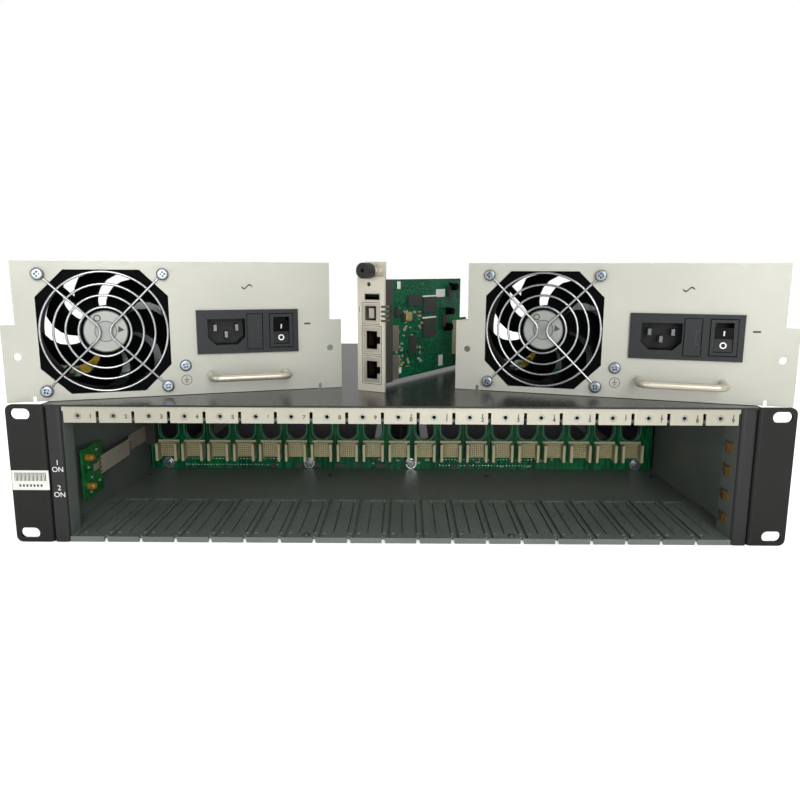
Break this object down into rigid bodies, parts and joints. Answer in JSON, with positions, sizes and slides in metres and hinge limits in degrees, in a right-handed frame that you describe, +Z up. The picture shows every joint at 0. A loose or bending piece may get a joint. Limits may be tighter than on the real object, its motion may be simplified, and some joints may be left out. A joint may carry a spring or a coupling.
{
  "type": "media converter chassis",
  "caption": "Open-front two-unit rack chassis with grooved card slots and a windowed backplane; on its cover stand two fan-cooled supply modules and one slide-in card.",
  "frame": {"origin": "middle of the chassis underside", "axes": "+Z up, -Y out of the card slots, +X to the right as seen from the front"},
  "size_m": [0.5697, 0.3901, 0.175],
  "materials": {
    "case_grey": "satin dark grey paint",
    "cover_black": "semi-gloss black paint",
    "ear_black": "fine textured black paint",
    "guide_grey": "satin dark grey-green paint",
    "rail_cream": "pale plated sheet",
    "zinc": "bright zinc",
    "screw_black": "black oxide",
    "board_green": "green solder mask",
    "connector_beige": "moulded beige plastic",
    "chip_black": "black moulded packages",
    "black_plastic": "black moulded plastic",
    "lamp_amber": "clear amber resin",
    "ribbon_grey": "grey flat cable",
    "copper": "copper alloy spring",
    "plate_nickel": "pale plated steel sheet",
    "wire_bright": "bright nickel wire",
    "sink_grey": "extruded aluminium",
    "core_tape": "taped winding on a ferrite core",
    "can_blue": "sleeved cans",
    "inlet_slate": "dark slate plastic",
    "port_cream": "pale shielded sockets",
    "knob_black": "black knurled metal"
  },
  "bodies": {
    "chassis": {"chassis_base": "case_grey", "top_cover": "cover_black", "card_guide_floor": "guide_grey", "card_guide_top": "guide_grey", "front_rail": "rail_cream", "rack_ear_left": "ear_black", "rack_ear_right": "ear_black", "ear_screws": "screw_black", "cover_screws": "screw_black", "floor_rivets": "zinc", "backplane_board": "board_green", "slot_connectors": "connector_beige", "backplane_screws": "zinc", "backplane_chips": "chip_black", "rear_bulkhead": "case_grey", "supply_docks": "black_plastic", "bay_divider": "case_grey", "tray_guides": "zinc", "lamp_board": "board_green", "panel_lamps": "lamp_amber", "lamp_ribbon": "ribbon_grey", "ribbon_header": "black_plastic", "ground_fingers": "copper"},
    "left_supply": {"left_tray": "plate_nickel", "left_circuit_board": "board_green", "left_heat_sinks": "sink_grey", "left_transformer": "core_tape", "left_capacitors": "can_blue", "left_output_plug": "black_plastic", "left_fan_frame": "black_plastic", "left_fan_guard": "wire_bright", "left_plate_screws": "zinc", "left_inlet": "inlet_slate", "left_inlet_pins": "zinc", "left_handle": "plate_nickel"},
    "left_fan": {"left_fan_rotor": "black_plastic"},
    "left_fuse": {"left_fuse_drawer": "inlet_slate"},
    "left_switch": {"left_rocker": "inlet_slate"},
    "right_supply": {"right_tray": "plate_nickel", "right_circuit_board": "board_green", "right_heat_sinks": "sink_grey", "right_transformer": "core_tape", "right_capacitors": "can_blue", "right_output_plug": "black_plastic", "right_fan_frame": "black_plastic", "right_fan_guard": "wire_bright", "right_plate_screws": "zinc", "right_inlet": "inlet_slate", "right_inlet_pins": "zinc", "right_handle": "plate_nickel"},
    "right_fan": {"right_fan_rotor": "black_plastic"},
    "right_fuse": {"right_fuse_drawer": "inlet_slate"},
    "right_switch": {"right_rocker": "inlet_slate"},
    "card": {"card_faceplate": "rail_cream", "card_board": "board_green", "card_chips": "chip_black", "card_ports": "port_cream", "card_rear_plug": "connector_beige"},
    "card_screw": {"card_thumbscrew": "knob_black"},
    "card_reset": {"card_reset_button": "black_plastic"}
  },
  "joints": [
    {"name": "left_supply_lift", "type": "slide", "parent": "chassis", "child": "left_supply", "axis": [0, 0, 1], "range_m": [0, 0.06]},
    {"name": "left_fan_spin", "type": "hinge", "parent": "left_supply", "child": "left_fan", "pos_m": [-0.18932, -0.15757, 0.1307], "axis": [-0.3272, 0.9449, 0], "continuous": true},
    {"name": "left_fuse_pull", "type": "slide", "parent": "left_supply", "child": "left_fuse", "axis": [0.3272, -0.9449, 0], "range_m": [0, 0.019]},
    {"name": "left_switch_rock", "type": "hinge", "parent": "left_supply", "child": "left_switch", "pos_m": [-0.08308, -0.12819, 0.1294], "axis": [-0.9449, -0.3272, 0], "range_deg": [0, 18]},
    {"name": "right_supply_lift", "type": "slide", "parent": "chassis", "child": "right_supply", "axis": [0, 0, 1], "range_m": [0, 0.06]},
    {"name": "right_fan_spin", "type": "hinge", "parent": "right_supply", "child": "right_fan", "pos_m": [0.0975, -0.13132, 0.1307], "axis": [0.3156, 0.9489, 0], "continuous": true},
    {"name": "right_fuse_pull", "type": "slide", "parent": "right_supply", "child": "right_fuse", "axis": [-0.3156, -0.9489, 0], "range_m": [0, 0.019]},
    {"name": "right_switch_rock", "type": "hinge", "parent": "right_supply", "child": "right_switch", "pos_m": [0.19966, -0.17268, 0.1294], "axis": [-0.9489, 0.3156, 0], "range_deg": [0, 18]},
    {"name": "card_lift", "type": "slide", "parent": "chassis", "child": "card", "axis": [0, 0, 1], "range_m": [0, 0.06]},
    {"name": "card_screw_turn", "type": "hinge", "parent": "card", "child": "card_screw", "pos_m": [-0.0186, -0.13244, 0.1691], "axis": [0.5135, 0.8581, 0], "continuous": true},
    {"name": "card_reset_press", "type": "slide", "parent": "card", "child": "card_reset", "axis": [0.5135, 0.8581, 0], "range_m": [0, 0.0005], "stiffness_N_per_m": 300, "springref_m": -0.0004}
  ]
}
